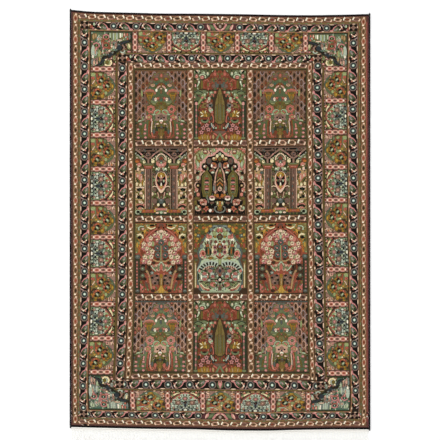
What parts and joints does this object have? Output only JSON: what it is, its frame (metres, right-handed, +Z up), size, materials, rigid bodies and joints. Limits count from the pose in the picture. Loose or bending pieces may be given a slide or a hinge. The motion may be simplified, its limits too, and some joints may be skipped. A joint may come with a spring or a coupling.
{
  "type": "persian rug",
  "caption": "Flat rectangular knotted wool rug with uneven woven ends, overcast side cords and a pale fringe along one end.",
  "frame": {"origin": "middle of the pile's underside, on the surface that the rug lies on", "axes": "+X across the rug, +Y along it towards the end with no fringe, +Z up out of the pile"},
  "size_m": [1.524, 2.2308, 0.008],
  "materials": {
    "pile": "short wool pile, knotted in a many-coloured panel pattern",
    "selvedge": "dark wool overcasting, wrapped round a cord",
    "end_weave": "dark flat-woven wool band",
    "fringe": "pale cotton plain weave and loose warp ends"
  },
  "bodies": {
    "root": {"pile_field": "pile", "selvedge_left": "selvedge", "selvedge_right": "selvedge", "end_band_top": "end_weave", "end_band_bottom": "end_weave", "fringe_bottom": "fringe"}
  },
  "joints": []
}
